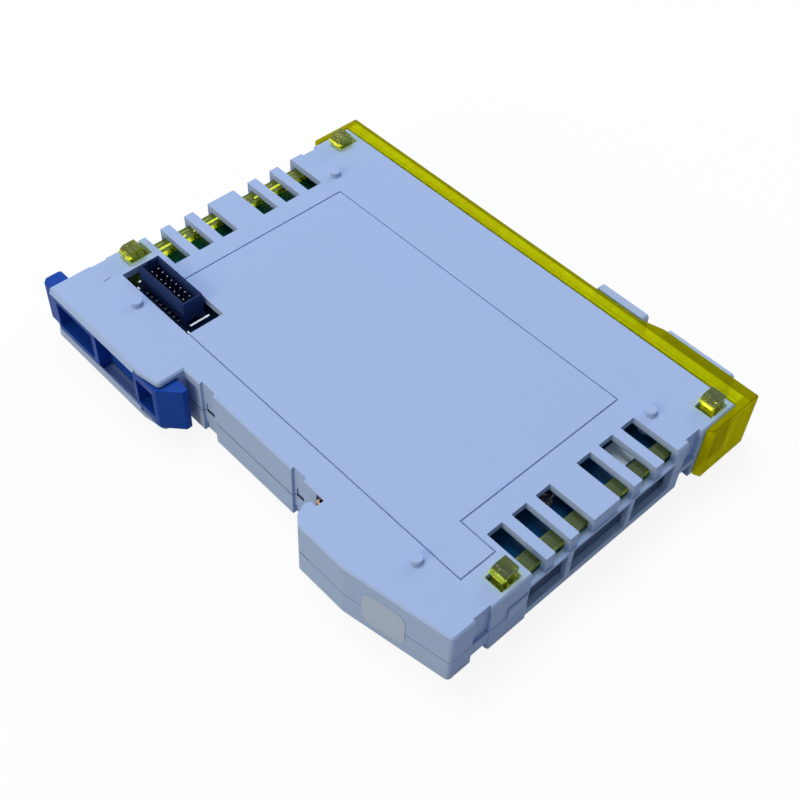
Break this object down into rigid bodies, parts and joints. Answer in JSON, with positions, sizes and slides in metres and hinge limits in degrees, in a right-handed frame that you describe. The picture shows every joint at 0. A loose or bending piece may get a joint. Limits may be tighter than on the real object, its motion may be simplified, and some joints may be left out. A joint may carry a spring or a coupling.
{
  "type": "safety controller module",
  "caption": "Thin rail-mounted safety controller module with vented light blue housing, yellow front frame, blue rail latch, bus header and two plug-in terminals.",
  "frame": {"origin": "on the rail seat, on the rail's centre line, at half the module's width", "axes": "+X from the rail seat to the front, +Y along the housing towards the latch knob, +Z across the narrow width to the side with the bus header"},
  "size_m": [0.0799, 0.1057, 0.0147],
  "materials": {
    "shell": "fine satin",
    "frame": "translucent, glossy",
    "latch": "satin",
    "board": "solder mask",
    "header": "satin",
    "contact": "tin plated",
    "bronze": "spring bronze",
    "package": "moulded",
    "can": "satin",
    "chip": "ceramic",
    "lamp": "clear",
    "label": "paper",
    "plug": "satin",
    "socket": "satin",
    "spring": "spring steel"
  },
  "bodies": {
    "module": {"upper_shell": "shell", "lower_shell": "shell", "front_frame": "frame", "main_board": "board", "bus_header": "header", "bus_header_pins": "contact", "bus_socket": "header", "bus_socket_contacts": "contact", "earth_contact": "bronze", "processor_a": "package", "processor_b": "package", "bus_interface_chip": "package", "supply_inductor": "package", "supply_capacitors": "can", "signal_couplers": "package", "small_components": "chip", "status_leds": "lamp", "code_label": "label", "inspection_sticker": "label", "board_socket_3": "socket", "board_pins_3": "contact", "board_socket_4": "socket", "board_pins_4": "contact"},
    "latch": {"rail_latch": "latch"},
    "three_pole_plug": {"plug_3_body": "plug", "plug_3_clamps": "contact", "plug_3_springs": "spring"},
    "four_pole_plug": {"plug_4_body": "plug", "plug_4_clamps": "contact", "plug_4_springs": "spring"}
  },
  "joints": [
    {"name": "latch_slide", "type": "slide", "parent": "module", "child": "latch", "axis": [0, 1, 0], "range_m": [0, 0.003]},
    {"name": "three_pole_plug_pull", "type": "slide", "parent": "module", "child": "three_pole_plug", "axis": [1, 0, 0], "range_m": [0, 0.008]},
    {"name": "four_pole_plug_pull", "type": "slide", "parent": "module", "child": "four_pole_plug", "axis": [1, 0, 0], "range_m": [0, 0.008]}
  ]
}
